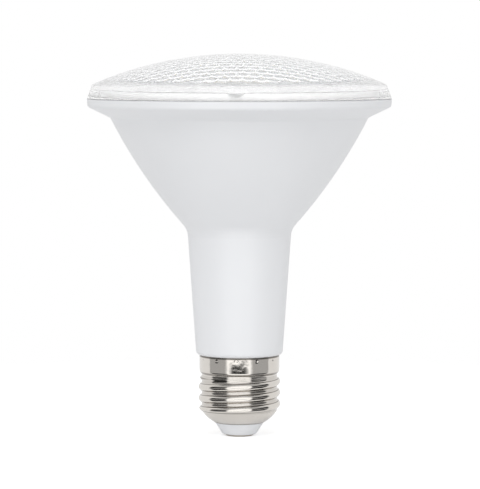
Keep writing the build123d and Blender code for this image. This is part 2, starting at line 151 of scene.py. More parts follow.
class Graph:
    """A node tree that is written as expressions."""

    def __init__(self, tree):
        self.tree = tree

    def feed(self, socket, value):
        if isinstance(value, Term):
            self.tree.links.new(value.socket, socket)
        else:
            socket.default_value = value

    def add(self, kind, settings=None, sockets=None, output=0):
        node = self.tree.nodes.new(kind)
        for name, value in (settings or {}).items():
            setattr(node, name, value)
        for key, value in (sockets or {}).items():
            self.feed(node.inputs[key], value)
        return Term(self, node.outputs[output])

    def ramp(self, value, low, high, smooth=True):
        """0 below low, 1 above high, and a smooth step between."""
        kind = "SMOOTHSTEP" if smooth else "LINEAR"
        settings = {"interpolation_type": kind}
        return self.add("ShaderNodeMapRange", settings, {"Value": value, 1: low, 2: high})

    def band(self, value, low, high, soft):
        """1 between low and high, 0 outside, with soft edges."""
        return self.ramp(value, low - soft, low + soft) * (1 - self.ramp(value, high - soft, high + soft))

    def blend(self, factor, one, two):
        """Colour one where the factor is 0 and colour two where it is 1."""
        one = one if isinstance(one, Term) else (*one, 1)
        two = two if isinstance(two, Term) else (*two, 1)
        return self.add("ShaderNodeMix", {"data_type": "RGBA"}, {0: factor, 6: one, 7: two}, 2)

    def split(self, vector):
        """The three numbers of a vector."""
        node = self.add("ShaderNodeSeparateXYZ", None, {0: vector}).socket.node
        return [Term(self, socket) for socket in node.outputs]

    def join(self, x, y, z):
        return self.add("ShaderNodeCombineXYZ", None, {0: x, 1: y, 2: z})

    def noise(self, vector, scale, detail=3.0, roughness=0.55):
        """Noise from 0 to 1, with about scale bumps to the metre."""
        sockets = {"Vector": vector, "Scale": scale, "Detail": detail, "Roughness": roughness}
        return self.add("ShaderNodeTexNoise", None, sockets)


# %% [markdown]
# ## The finishes: how each material starts
#
# Each finish is one Principled shader. A value that is the same all over goes straight on the
# shader's socket. What varies is worked out from Object coordinates, which are metres on the lamp
# itself, so the grain keeps its real size and stays put whichever way the lamp is seen.


# %% Define a finish
class Finish:
    """A material with one Principled shader and a graph that feeds it."""

    def __init__(self, name, uniform=None):
        self.material = bpy.data.materials.new(name)
        self.material.use_nodes = True
        self.graph = Graph(self.material.node_tree)
        self.shader = self.material.node_tree.nodes["Principled BSDF"]
        for socket, value in (uniform or {}).items():
            self.shader.inputs[socket].default_value = value
        self.place = self.graph.add("ShaderNodeTexCoord", output="Object")

    def set(self, socket, value):
        self.graph.feed(self.shader.inputs[socket], value)

    def bump(self, height, depth):
        """Fine relief: height runs from 0 to 1 over a depth in metres."""
        sockets = {"Height": height, "Distance": depth, "Strength": 1.0}
        self.set("Normal", self.graph.add("ShaderNodeBump", None, sockets))


def moulded(name, dark, light, rough):
    """Moulded plastic: faint flow marks in the colour, and a fine eroded grain in the gloss."""
    finish = Finish(name)
    graph = finish.graph
    flow_scale, grain_scale, grain_depth = 60, 4000, 0.006 * mm
    flow = graph.noise(finish.place, flow_scale, 2)
    fine = graph.noise(finish.place, grain_scale, 2)
    finish.set("Base Color", graph.blend(flow, dark, light))
    finish.set("Roughness", rough + 0.10 * (fine - 0.5) + 0.06 * (flow - 0.5))
    finish.bump(fine, grain_depth)
    return finish.material


def metal(name, dark, light, rough):
    """Bare or plated metal: fine drawn lines in the gloss, and faint clouds in the colour."""
    finish = Finish(name, {"Metallic": 1.0})
    graph = finish.graph
    line_scale, cloud_scale, line_depth = 900, 120, 0.004 * mm
    squeeze = (1, 1, 12)
    multiply = {"operation": "MULTIPLY"}
    drawn = graph.add("ShaderNodeVectorMath", multiply, {0: finish.place, 1: squeeze})
    lines = graph.noise(drawn, line_scale, 3)
    cloud = graph.noise(finish.place, cloud_scale, 3)
    finish.set("Base Color", graph.blend(cloud, dark, light))
    finish.set("Roughness", rough + 0.12 * (lines - 0.5) + 0.08 * (cloud - 0.5))
    finish.bump(lines, line_depth)
    return finish.material


print("helpers ready")

# %% [markdown]
# ## Housing
#
# The body is one white moulding with a satin gloss. The photograph shows no grain from this
# distance, only soft light and shade, so the relief is a few thousandths of a millimetre and mainly
# breaks up the gloss.

# %% Make the white plastics
housing_white = moulded("housing_white", (0.84, 0.85, 0.87), (0.87, 0.88, 0.90), 0.38)
insulator_white = moulded("insulator_white", (0.92, 0.935, 0.96), (0.94, 0.95, 0.975), 0.42)
seal_silicone = moulded("seal_silicone", (0.90, 0.90, 0.90), (0.94, 0.94, 0.94), 0.55)
print("white plastics:", housing_white.name, insulator_white.name, seal_silicone.name)

# %% [markdown]
# ## Lens: a sheet of lenslets
#
# The lens is a clear moulding: a smooth dome outside, and more than four hundred six-sided lenslets
# inside that spread the light. Each could be a separate bump, but bumps that overlap a dome are not
# one body of plastic and would refract wrongly. Instead a fine triangular grid is laid out so that
# its edges run along the edges of the six-sided cells, and every point is lifted by one formula: the
# dome's height, less the swell of a pillow about the nearest cell centre. A pillow is flat in the
# middle and steep at its edge, which gives the white fields and thin grey joints of the photograph.
# Geometry Nodes suit this well, because the whole sheet follows a rule.

# %% Sizes of the lens
lens_radius = lens_high[0]
apex = lens_high[2]
lip_bottom = lens_low[2]
lens_height = 14.2 * mm
rim_top = apex - lens_height
dome_radius = 118.0 * mm
lens_wall = 2.4 * mm
side_inset = 1.7 * mm
inner_inset = 0.7 * mm
shoulder_round = 1.8 * mm
lip_radius = lens_radius - 2.1 * mm
lip_inner_radius = lip_radius - 1.3 * mm
sheet_radius = lip_inner_radius - inner_inset
plain_border = 3.8 * mm
border_fade = 0.3  # share of the plain border over which the lenslets fade
lenslet_pitch = 3.7 * mm
lenslet_height = 0.8 * mm
cell_edge = lenslet_pitch / sqrt(3)
steps_per_edge = 5
grid_step = cell_edge / steps_per_edge
field_radius = sheet_radius - plain_border
cell_count = pi * field_radius**2 / (lenslet_pitch**2 * sqrt(3) / 2)
print("lenslets: about", round(cell_count), "on a field", round(field_radius / mm, 1), "mm in radius")


# %% Build the lenslet sheet
def new_tree(name, inputs):
    """A Geometry Nodes tree with named number inputs, as a graph and a dictionary of terms."""
    tree = bpy.data.node_groups.new(name, "GeometryNodeTree")
    for label in inputs:
        tree.interface.new_socket(label, in_out="INPUT", socket_type="NodeSocketFloat")
    tree.interface.new_socket("Geometry", in_out="OUTPUT", socket_type="NodeSocketGeometry")
    graph = Graph(tree)
    entry = tree.nodes.new("NodeGroupInput")
    return graph, {label: Term(graph, entry.outputs[label]) for label in inputs}


def close_tree(graph, geometry, material):
    """Ends a tree in Realize Instances and Set Material."""
    realized = graph.add("GeometryNodeRealizeInstances", None, {0: geometry})
    coated = graph.add("GeometryNodeSetMaterial", None, {0: realized, "Material": material})
    graph.feed(graph.tree.nodes.new("NodeGroupOutput").inputs[0], coated)


def grow(name, graph, inputs):
    """Evaluates a tree once and returns an object with the result as its plain mesh."""
    holder = bpy.data.objects.new(name, bpy.data.meshes.new(name + "_start"))
    bpy.context.scene.collection.objects.link(holder)
    modifier = holder.modifiers.new(name, "NODES")
    modifier.node_group = graph.tree
    for item in graph.tree.interface.items_tree:
        if item.in_out == "INPUT":
            modifier[item.identifier] = inputs[item.name]
    depsgraph = bpy.context.evaluated_depsgraph_get()
    mesh = bpy.data.meshes.new_from_object(holder.evaluated_get(depsgraph))
    holder.modifiers.remove(modifier)
    holder.data = mesh
    mesh.name = name
    material = mesh.materials[-1]
    mesh.materials.clear()
    mesh.materials.append(material)
    mesh.polygons.foreach_set("material_index", [0] * len(mesh.polygons))
    return holder


def lenslet_tree(inputs, columns, rows, material):
    """Sheet of lenslets under a dome, cut round. Grid steps run at 30 and 90 degrees."""
    graph, given = new_tree("lenslet_sheet", inputs)
    step, pitch, edge = given["Grid step"], given["Lenslet pitch"], given["Sheet radius"]
    sizes = {"Size X": columns, "Size Y": rows, "Vertices X": columns + 1, "Vertices Y": rows + 1}
    grid = graph.add("GeometryNodeMeshGrid", None, sizes)
    column, row, _ = graph.split(graph.add("GeometryNodeInputPosition"))
    leaned = graph.join(column * step * (sqrt(3) / 2), (row + column * 0.5) * step, 0.0)
    sheet = graph.add("GeometryNodeSetPosition", None, {0: grid, "Position": leaned})
    sheet = graph.add("GeometryNodeTriangulate", {"quad_method": "SHORTEST_DIAGONAL"}, {0: sheet})

    # Cut the sheet one step outside its radius, then draw its border in onto the circle
    x, y, _ = graph.split(graph.add("GeometryNodeInputPosition"))
    radius = (x * x + y * y) ** 0.5
    outside = graph.add("FunctionNodeCompare", None, {0: radius, 1: edge + step})
    sheet = graph.add("GeometryNodeDeleteGeometry", None, {0: sheet, 1: outside})
    inwards = (edge / radius).math("MINIMUM", 1.0)
    drawn = graph.join(x * inwards, y * inwards, 0.0)
    sheet = graph.add("GeometryNodeSetPosition", None, {0: sheet, "Position": drawn})

    # Distance to the nearest cell centre: the cells are two rectangular patterns, half a step apart
    def off_centre(value, period, shift):
        return (value - period * shift).math("WRAP", period * 0.5, period * -0.5)

    gaps = []
    for shift in (0.0, 0.5):
        gap_x = off_centre(x, pitch, shift)
        gap_y = off_centre(y, pitch * sqrt(3), shift)
        gaps.append(gap_x * gap_x + gap_y * gap_y)
    nearest = gaps[0].math("MINIMUM", gaps[1])

    # A pillow falls off with the cube of the distance, as a share of the cell's own radius. Towards
    # the border the lenslets fade into a plain face at their full height
    share = nearest * 3 / (pitch * pitch)
    full, border = given["Lenslet height"], given["Plain border"]
    swell = full * (1 - share**1.5)
    plain = graph.ramp(radius, edge - border, edge - border * (1 - border_fade))
    swell = swell + (full - swell) * plain
    dome = given["Dome radius"]
    height = given["Dome apex"] - dome + (dome * dome - radius * radius) ** 0.5 - swell
    lifted = graph.join(x, y, height)
    sheet = graph.add("GeometryNodeSetPosition", None, {0: sheet, "Position": lifted})
    sheet = graph.add("GeometryNodeFlipFaces", None, {0: sheet})
    weld = step * 0.12
    sheet = graph.add("GeometryNodeMergeByDistance", None, {0: sheet, "Distance": weld})
    close_tree(graph, sheet, material)
    return graph


# %% [markdown]
# ## Lens: the body round the sheet
#
# The rest of the lens is a turned form: the inner side wall, the lip that drops into the rim, the
# outer side wall, a rounded shoulder and the dome. A Screw modifier could turn it, but its edge would
# not meet the sheet's uneven border point for point. So the border itself is carried round the
# half-section ring by ring, up to the apex. That leaves one closed body of clear plastic. The
# half-moon at the front, where the moulding gate was trimmed, is pressed into the side wall's rings.


# %% Draw the half-section of the lens
def lens_section():
    """Points (radius, height) from the foot of the inner side wall round to near the apex."""
    side_top = apex - dome_radius + sqrt(dome_radius**2 - (lens_radius - side_inset) ** 2)
    foot = Vector((lens_radius, rim_top))
    rise = (Vector((lens_radius - side_inset, side_top)) - foot).normalized()
    inward = Vector((-rise.y, rise.x))
    dome_centre = Vector((0, apex - dome_radius))
    start = foot + inward * shoulder_round - dome_centre
    reach = dome_radius - shoulder_round
    along = -start.dot(rise) + sqrt(start.dot(rise) ** 2 - start.length_squared + reach**2)
    centre = dome_centre + start + rise * along
    low_angle = atan2(-inward.y, -inward.x)
    high_angle = atan2(centre.y - dome_centre.y, centre.x - dome_centre.x)

    edge = seam_round / along
    wall = [foot + Vector((-seam_round, seat_gap)), foot + (rise + inward) * seam_round * arc_middle]
    for level in range(side_levels + 1):
        wall.append(foot + rise * along * (edge + (1 - edge) * level / side_levels))
    shoulder = []
    for turn in range(1, shoulder_levels + 1):
        angle = low_angle + (high_angle - low_angle) * turn / shoulder_levels
        shoulder.append(centre + shoulder_round * Vector((cos(angle), sin(angle))))
    dome = []
    for turn in range(1, dome_levels):
        angle = high_angle + (pi / 2 - high_angle) * turn / dome_levels
        dome.append(dome_centre + dome_radius * Vector((cos(angle), sin(angle))))
    lip = [(lip_inner_radius, rim_top), (lip_inner_radius, lip_bottom + seat_gap)]
    lip += [(lip_radius, lip_bottom + seat_gap), (lip_radius, rim_top + seat_gap)]
    return [Vector(point) for point in lip] + wall + shoulder + dome


side_levels, shoulder_levels, dome_levels = 22, 6, 26
seam_round = 0.18 * mm
arc_middle = 0.3  # how far the middle of a quarter round lies inside its corner, in radii
seat_gap = 0.04 * mm
gate_width = 5.6 * mm
gate_rise = 1.3 * mm
gate_top = rim_top + 2.4 * mm
gate_floor = lens_radius - 1.0 * mm
gate_edge = 0.12 * mm
gate_curve = (gate_width**2 / 4 + gate_rise**2) / (2 * gate_rise)


def gate_recess(x, radius, height):
    """Depth of the half-moon recess, flat side up, at a point of the front side wall."""
    inside = min(gate_curve - hypot(x, height - gate_top + gate_rise - gate_curve), gate_top - height)
    depth = max(radius - gate_floor, 0.0)
    return depth * min(max(inside / gate_edge, 0.0), 1.0)


print("half-section:", len(lens_section()), "points, gate mark", round(gate_width / mm, 1), "mm wide")


# %% Carry the sheet's border round the half-section
def close_lens(piece):
    """Closes the sheet into the whole lens and returns how many edges are open or shared."""
    body = bmesh.new()
    body.from_mesh(piece.data)
    border = {v for edge in body.edges if edge.is_boundary for v in edge.verts}
    ring = sorted(border, key=lambda v: atan2(v.co.y, v.co.x))
    turns = [atan2(v.co.y, v.co.x) for v in ring]
    for point in lens_section():
        radius, height = point
        fresh = []
        for turn in turns:
            at_front = sin(turn) < 0 and radius > lip_radius
            dent = gate_recess(radius * cos(turn), radius, height) if at_front else 0
            fresh.append(body.verts.new(((radius - dent) * cos(turn), (radius - dent) * sin(turn), height)))
        for index in range(len(ring)):
            after = (index + 1) % len(ring)
            body.faces.new((ring[index], ring[after], fresh[after], fresh[index]))
        ring = fresh
    tip = body.verts.new((0, 0, apex))
    for index in range(len(ring)):
        body.faces.new((ring[index], ring[(index + 1) % len(ring)], tip))
    bmesh.ops.recalc_face_normals(body, faces=body.faces[:])
    for face in body.faces:
        face.smooth = True
    open_edges = sum(not edge.is_manifold for edge in body.edges)
    body.to_mesh(piece.data)
    body.free()
    piece.data.set_sharp_from_angle(angle=radians(32))
    return open_edges


# %% [markdown]
# ## Lens: the clear plastic
#
# The plastic is clear and glossy, but the photograph shows more in it than that: a dull border round
# the lenslets, a dark line of painted shade along the joint with the rim, a fine line of painted
# shade in the corner where the side wall meets the border, and the grey half-moon of the trimmed
# gate. These could be separate strips, but they are only changes of surface, so the finish works them
# out from each point's radius and height, and from its depth below the dome, which tells the inner
# faces from the outer one.


# %% Make the clear plastic
def grey(tone):
    return (tone, tone, tone)


def clear_plastic(name):
    """Clear plastic with the marks of the mould and the gate, and painted shade at the joint and in the
    inner corner.
    """
    finish = Finish(name, {"Transmission Weight": 1.0, "IOR": 1.49})
    graph = finish.graph
    x, y, z = graph.split(finish.place)
    radius = (x * x + y * y) ** 0.5
    depth = apex - dome_radius + (dome_radius**2 - radius * radius) ** 0.5 - z
    inside = graph.ramp(depth, 1.0 * mm, 1.5 * mm)

    border = graph.ramp(radius, field_radius - 0.3 * mm, field_radius + 0.6 * mm)
    border = border * radius.math("LESS_THAN", lip_inner_radius + 0.1 * mm) * inside
    # Painted shade: a fine dark ring in the inner corner where the side wall meets the border
    corner = graph.ramp(radius, sheet_radius - 0.2 * mm, sheet_radius - 0.1 * mm)
    corner = corner * radius.math("LESS_THAN", sheet_radius + 0.08 * mm) * inside
    # Painted shade: a dark line on the outer wall just above the rim, along the joint
    outer_edge = radius.math("GREATER_THAN", lens_radius - 0.8 * mm)
    joint = outer_edge * (1 - graph.ramp(z, rim_top + 0.12 * mm, rim_top + 0.26 * mm))
    below = z - (gate_top - gate_rise + gate_curve)
    gate = (gate_curve - (x * x + below * below) ** 0.5).math("MINIMUM", gate_top - z)
    gate = graph.ramp(gate, 0.0, 0.06 * mm) * y.math("LESS_THAN", -lip_radius)

    # The tint carries the painted shade of the joint and the corner, and the grey of the gate
    tint = graph.blend(joint, grey(1.0), grey(0.3))
    tint = graph.blend(gate * 0.8, tint, grey(0.45))
    finish.set("Base Color", graph.blend(corner, tint, grey(0.15)))
    haze_scale = 150
    haze = graph.noise(finish.place, haze_scale, 2)
    finish.set("Roughness", 0.03 + 0.03 * haze + 0.35 * border + 0.3 * gate)
    return finish.material


lens_clear = clear_plastic("lens_clear")
print("clear plastic ready")

# %% Make the lens
sheet_sizes = {
    "Sheet radius": sheet_radius,
    "Grid step": grid_step,
    "Lenslet pitch": lenslet_pitch,
    "Lenslet height": lenslet_height,
    "Dome radius": dome_radius - lens_wall,
    "Dome apex": apex - lens_wall,
    "Plain border": plain_border,
}
half_columns = int(sheet_radius / (grid_step * sqrt(3) / 2)) + 3
half_rows = int(sheet_radius / grid_step + half_columns / 2) + 3
sheet_tree = lenslet_tree(sheet_sizes, 2 * half_columns, 2 * half_rows, lens_clear)
lens = grow("clear_lens", sheet_tree, sheet_sizes)
open_edges = close_lens(lens)
print("lens:", len(lens.data.polygons), "faces,", open_edges, "open or shared edges")
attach(lens, "root")
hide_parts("lens")

# %% [markdown]
# ## Bedding ring
#
# Behind the lower side wall the photograph shows a smooth white band. On lamps of this kind the lens
# is bedded in white silicone, and this band is the bead that fills the corner inside its wall. It has
# one section all round. A Screw modifier could turn it, but a short loop that lays the section out
# step by step closes the ring on itself with nothing left to merge.


# %% Turn the bedding ring
def turned(name, outline, steps, material):
    """A ring turned from a closed outline of (radius, height) points."""
    body = bmesh.new()
    rings = []
    for step in range(steps):
        turn = 2 * pi * step / steps
        rings.append([body.verts.new((r * cos(turn), r * sin(turn), z)) for r, z in outline])
    for step in range(steps):
        one, two = rings[step], rings[(step + 1) % steps]
        for index in range(len(outline)):
            after = (index + 1) % len(outline)
            body.faces.new((one[index], two[index], two[after], one[after]))
    bmesh.ops.recalc_face_normals(body, faces=body.faces[:])
    for face in body.faces:
        face.smooth = True
    mesh = bpy.data.meshes.new(name)
    body.to_mesh(mesh)
    body.free()
    mesh.set_sharp_from_angle(angle=radians(40))
    mesh.materials.append(material)
    ring = bpy.data.objects.new(name, mesh)
    bpy.context.scene.collection.objects.link(ring)
    return ring


inner_top = apex - dome_radius + sqrt((dome_radius - lens_wall) ** 2 - sheet_radius**2) - lenslet_height
wall_gap = 0.05 * mm
bead_steps = 240
bead = [
    (lip_inner_radius - 0.15 * mm, lip_bottom - 0.65 * mm),
    (lip_inner_radius - wall_gap, lip_bottom + 0.1 * mm),
    (lip_inner_radius - wall_gap, rim_top),
    (sheet_radius + 0.05 * mm, inner_top - 0.1 * mm),
    (sheet_radius - 0.1 * mm, inner_top - 0.35 * mm),
    (sheet_radius - 0.2 * mm, rim_top + 0.6 * mm),
    (sheet_radius - 0.3 * mm, rim_top - 0.4 * mm),
    (sheet_radius - 0.1 * mm, lip_bottom - 0.4 * mm),
]
bedding = turned("lens_bedding", bead, bead_steps, seal_silicone)
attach(bedding, "root")
print("bedding ring:", len(bedding.data.polygons), "faces, up to", round(bead[3][1] / mm, 2), "mm")

# %% [markdown]
# ## Screw shell
#
# The cap's shell is thin nickel-plated sheet with its thread rolled in, so crests and valleys are both
# round. Its radius is one formula of the angle and the height: a bowl at the foot, a skirt at the top
# that bulges by a hair, a wave that climbs one pitch a turn between them, and twelve small staking
# dents near the top edge. Geometry Nodes roll a flat grid up by that formula, and a Solidify modifier
# gives the sheet its thickness.

# %% Sizes of the screw shell
shell_top = shell_high[2]
shell_foot = shell_low[2]
shell_wall = 0.45 * mm
shell_sizes = {
    "Foot": shell_foot,
    "Top": shell_top,
    "Mouth radius": 7.9 * mm,
    "Bowl top": shell_foot + 4.0 * mm,
    "Bowl bulge": 0.62 * mm,
    "Root radius": 12.05 * mm,
    "Crest radius": shell_high[0],
    "Thread pitch": 3.629 * mm,
    "Thread foot": 7.4 * mm,
    "Thread top": 19.6 * mm,
    "Thread turn": radians(80.0),
    "Sheet": shell_wall,
    "Run out": 1.7 * mm,
    "Skirt radius": 12.75 * mm,
    "Skirt foot": 20.9 * mm,
    "Skirt taper": 1.2 * mm,
    "Skirt bulge": 0.02 * mm,
    "Stake height": shell_top - 1.2 * mm,
    "Stake radius": 0.5 * mm,
    "Stake depth": 0.25 * mm,
    "Stake turn": radians(-3.0),
    "Stake step": radians(30.0),
}
thread_turns = (shell_sizes["Thread top"] - shell_sizes["Thread foot"]) / shell_sizes["Thread pitch"]
print("thread:", round(thread_turns, 2), "turns, crest", round(shell_sizes["Crest radius"] / mm, 2), "mm")


# %% Roll the shell
def shell_tree(inputs, around, levels, material):
    """Outer face of the shell: a grid whose points turn and climb, at the radius of the formula."""
    graph, given = new_tree("rolled_shell", inputs)
    sizes = {"Size X": 1.0, "Size Y": 1.0, "Vertices X": around + 1, "Vertices Y": levels + 1}
    grid = graph.add("GeometryNodeMeshGrid", None, sizes)
    across, along, _ = graph.split(graph.add("GeometryNodeInputPosition"))
    turn = (across + 0.5) * (2 * pi)
    foot, top = given["Foot"], given["Top"]
    height = foot + (along + 0.5) * (top - foot)

    root, skirt = given["Root radius"], given["Skirt radius"]
    flare = graph.ramp(height, given["Skirt foot"] - given["Skirt taper"], given["Skirt foot"])
    body = root + (skirt - root) * flare
    up_skirt = graph.ramp(height, given["Skirt foot"], top, smooth=False)
    body = body + given["Skirt bulge"] * 4 * up_skirt * (1 - up_skirt)
    bowl = graph.ramp(height, foot, given["Bowl top"], smooth=False)
    bowed = given["Mouth radius"] + (root - given["Mouth radius"]) * bowl
    bowed = bowed + given["Bowl bulge"] * 4 * bowl * (1 - bowl)
    in_bowl = height.math("LESS_THAN", given["Bowl top"])
    plain = body + (bowed - body) * in_bowl

    # Two arcs that touch half-way: the outside of a rolled sheet is rounder at the crest
    pitch, rise = given["Thread pitch"], given["Crest radius"] - root
    both = (pitch * pitch / 4 + rise * rise) / (rise * 2)
    crest_round = (both + given["Sheet"]) / 2
    valley_round = both - crest_round
    climbed = (turn - given["Thread turn"]) * pitch / (2 * pi)
    off_crest = (height - given["Thread foot"] - climbed).math("WRAP", pitch * 0.5, pitch * -0.5)
    off_crest = off_crest.math("ABSOLUTE")
    off_valley = pitch * 0.5 - off_crest
    crest = rise - crest_round + (crest_round**2 - off_crest**2).math("MAXIMUM", 0.0) ** 0.5
    valley = valley_round - (valley_round**2 - off_valley**2).math("MAXIMUM", 0.0) ** 0.5
    near_crest = off_crest.math("LESS_THAN", pitch * 0.5 * crest_round / both)
    wave = valley + (crest - valley) * near_crest
    run_out = given["Run out"]
    start = graph.ramp(height, given["Thread foot"], given["Thread foot"] + run_out)
    stop = 1 - graph.ramp(height, given["Thread top"] - run_out, given["Thread top"])
    thread = wave * start * stop

    step = given["Stake step"]
    off_turn = (turn - given["Stake turn"]).math("WRAP", step * 0.5, step * -0.5) * skirt
    off_height = height - given["Stake height"]
    off_stake = (off_turn * off_turn + off_height * off_height) ** 0.5
    dent = given["Stake depth"] * (1 - graph.ramp(off_stake, 0.0, given["Stake radius"], smooth=False))
    radius = plain + thread - dent
    rolled = graph.join(turn.math("COSINE") * radius, turn.math("SINE") * radius, height)
    shell = graph.add("GeometryNodeSetPosition", None, {0: grid, "Position": rolled})
    weld = 0.002 * mm
    shell = graph.add("GeometryNodeMergeByDistance", None, {0: shell, "Distance": weld})
    shell = graph.add("GeometryNodeSetShadeSmooth", None, {0: shell, "Shade Smooth": True})
    close_tree(graph, shell, material)
    return graph


# %% [markdown]
# ## Screw shell: the plate
#
# Nickel plate is a mirror with a warm tone. Rolling leaves small ripples that break up what it
# mirrors, so they are a bump of a few hundredths of a millimetre. Painted shade darkens it on the
# steep flanks of the thread, a little in its valleys, under the fold of the skirt and along both
# edges; on the flanks it also stands in for dark reflections. The plate could be painted by hand,
# but these places are all set by radius and height, so a few soft steps find them.


# %% Make the plate and the shell
def rolled_nickel(name, dark, light):
    """Nickel plate on rolled sheet, with painted shade in the thread, along its edges and under the skirt's
    fold.
    """
    finish = Finish(name, {"Metallic": 1.0})
    graph = finish.graph
    cloud_scale, ripple_scale, ripple_depth = 120, 650, 0.024 * mm
    # Tone of the painted shade
    shade_tone = (0.22, 0.20, 0.18)
    cloud = graph.noise(finish.place, cloud_scale, 3)
    ripple = graph.noise(finish.place, ripple_scale, 1.2)
    x, y, z = graph.split(finish.place)
    radius = (x * x + y * y) ** 0.5
    root = shell_sizes["Root radius"]
    in_thread = graph.band(z, shell_sizes["Bowl top"] - 0.2 * mm, shell_sizes["Thread top"], 0.2 * mm)
    valley = in_thread * (1 - graph.ramp(radius, root + 0.1 * mm, root + 0.45 * mm))
    flank = in_thread * graph.band(radius, root + 0.30 * mm, root + 0.60 * mm, 0.1 * mm)
    mouth = 1 - graph.ramp(z, shell_foot + 0.2 * mm, shell_foot + 0.5 * mm)
    joint = graph.ramp(z, shell_top - 0.7 * mm, shell_top - 0.4 * mm)
    skirt_foot = shell_sizes["Skirt foot"]
    fold = graph.band(z, skirt_foot - 0.9 * mm, skirt_foot - 0.2 * mm, 0.2 * mm)
    # Painted shade: dark lines in the thread's valleys and on its flanks, along the foot, under the skirt's
    # fold and at the joint under the neck
    painted_shade = valley * 0.2
    for place, darkness in ((flank, 0.8), (mouth, 0.7), (joint, 1.0), (fold, 0.8)):
        painted_shade = painted_shade.math("MAXIMUM", place * darkness)
    plate = graph.blend(cloud, dark, light)
    finish.set("Base Color", graph.blend(painted_shade, plate, shade_tone))
    finish.set("Roughness", 0.06 + 0.08 * cloud + 0.1 * painted_shade)
    finish.bump(ripple, ripple_depth)
    return finish.material


cap_nickel = rolled_nickel("cap_nickel", (0.72, 0.68, 0.63), (0.80, 0.77, 0.73))
steps_around, steps_up = 348, 128
rolled_tree = shell_tree(shell_sizes, steps_around, steps_up, cap_nickel)
shell = grow("rolled_shell", rolled_tree, shell_sizes)
sheet = shell.modifiers.new("sheet", "SOLIDIFY")
sheet.thickness = shell_wall
sheet.offset = -1.0
sheet.use_even_offset = True
print("shell:", len(shell.data.polygons), "faces before it gets its thickness")
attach(shell, "root")
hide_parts("screw_shell")

# %% [markdown]
# ## Inside the lamp
#
# The light board, its packages and the aluminium cup show through the clear lens, and the driver in
# the neck shows when the lamp is taken apart. Their shapes in the frame are right, so they are kept
# and get a finish each. A light-emitting package is a white body with a yellow window. The window
# lies a little below the package's top and nothing else lies at that height, so height alone picks
# it out.


# %% Finish the inner pieces
def light_package(name, body, window):
    """White package with a sunk window of yellow phosphor."""
    finish = Finish(name)
    graph = finish.graph
    speck_scale, speck_depth = 3000, 0.004 * mm
    speck = graph.noise(finish.place, speck_scale, 2)
    _, _, z = graph.split(finish.place)
    window_drop, spread = 0.15 * mm, 0.03 * mm
    window_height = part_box("leds")[1][2] - window_drop
    sunk = graph.band(z, window_height - spread, window_height + spread, 0.01 * mm)
    shade = graph.blend(speck, tuple(0.95 * tone for tone in window), window)
    finish.set("Base Color", graph.blend(sunk, body, shade))
    finish.set("Roughness", 0.30 + 0.25 * sunk + 0.10 * speck)
    finish.bump(speck, speck_depth)
    return finish.material


contact_metal = metal("contact_metal", (0.50, 0.45, 0.38), (0.62, 0.57, 0.50), 0.30)
sink_aluminium = metal("sink_aluminium", (0.52, 0.53, 0.54), (0.60, 0.60, 0.61), 0.45)
screw_steel = metal("screw_steel", (0.55, 0.55, 0.54), (0.66, 0.66, 0.65), 0.30)
board_white = moulded("board_white", (0.68, 0.68, 0.67), (0.74, 0.74, 0.73), 0.40)
led_package = light_package("led_package", (0.84, 0.83, 0.80), (0.86, 0.72, 0.30))
driver_green = moulded("driver_green", (0.02, 0.12, 0.05), (0.03, 0.17, 0.08), 0.35)
can_sleeve = moulded("can_sleeve", (0.015, 0.015, 0.02), (0.03, 0.03, 0.04), 0.35)
ferrite = moulded("ferrite", (0.03, 0.03, 0.03), (0.06, 0.06, 0.06), 0.55)
winding_tape = moulded("winding_tape", (0.65, 0.48, 0.05), (0.75, 0.58, 0.09), 0.40)
choke_black = moulded("choke_black", (0.02, 0.02, 0.02), (0.04, 0.04, 0.04), 0.50)
film_red = moulded("film_red", (0.35, 0.04, 0.02), (0.45, 0.06, 0.03), 0.35)
chip_black = moulded("chip_black", (0.015, 0.015, 0.015), (0.03, 0.03, 0.03), 0.45)
fuse_green = moulded("fuse_green", (0.12, 0.25, 0.12), (0.18, 0.34, 0.17), 0.50)
wire_brown = moulded("wire_brown", (0.10, 0.04, 0.015), (0.14, 0.06, 0.02), 0.42)
wire_blue = moulded("wire_blue", (0.02, 0.07, 0.30), (0.03, 0.10, 0.38), 0.42)
wire_white = moulded("wire_white", (0.74, 0.74, 0.72), (0.80, 0.80, 0.78), 0.42)
wire_grey = moulded("wire_grey", (0.34, 0.34, 0.35), (0.42, 0.42, 0.43), 0.42)

finishes = {
    "lens": lens_clear,
    "lens_seal": seal_silicone,
    "housing": housing_white,
    "heat_sink": sink_aluminium,
    "led_board": board_white,
    "leds": led_package,
    "board_screws": screw_steel,
    "driver_board": driver_green,
    "input_capacitor": can_sleeve,
    "output_capacitor": can_sleeve,
    "transformer_core": ferrite,
    "transformer_winding": winding_tape,
    "filter_choke": choke_black,
    "film_capacitor": film_red,
    "bridge_rectifier": chip_black,
    "driver_chip": chip_black,
    "fuse_resistor": fuse_green,
    "live_lead": wire_brown,
    "neutral_lead": wire_blue,
    "led_lead_positive": wire_white,
    "led_lead_negative": wire_grey,
    "screw_shell": cap_nickel,
    "cap_insulator": insulator_white,
    "centre_contact": contact_metal,
}
for name, material in finishes.items():
    nodes[name].data.materials.clear()
    nodes[name].data.materials.append(material)
print("finished nodes:", len(finishes))

# %% [markdown]
# ## Studio: the lamps
#
# The photograph has a white table, a white room and very soft light, with a little more of it in
# front and above. Two large lamps and the world give that. Light that enters the lens is thrown about
# between its faces many times before it leaves. The usual limits on bounces would end it there and
# leave dark specks, so the limits are raised.

# %% Set up the lamps
scene = bpy.context.scene
scene.view_settings.view_transform = "Standard"
scene.cycles.max_bounces = 32
scene.cycles.glossy_bounces = 16
scene.cycles.transmission_bounces = 16


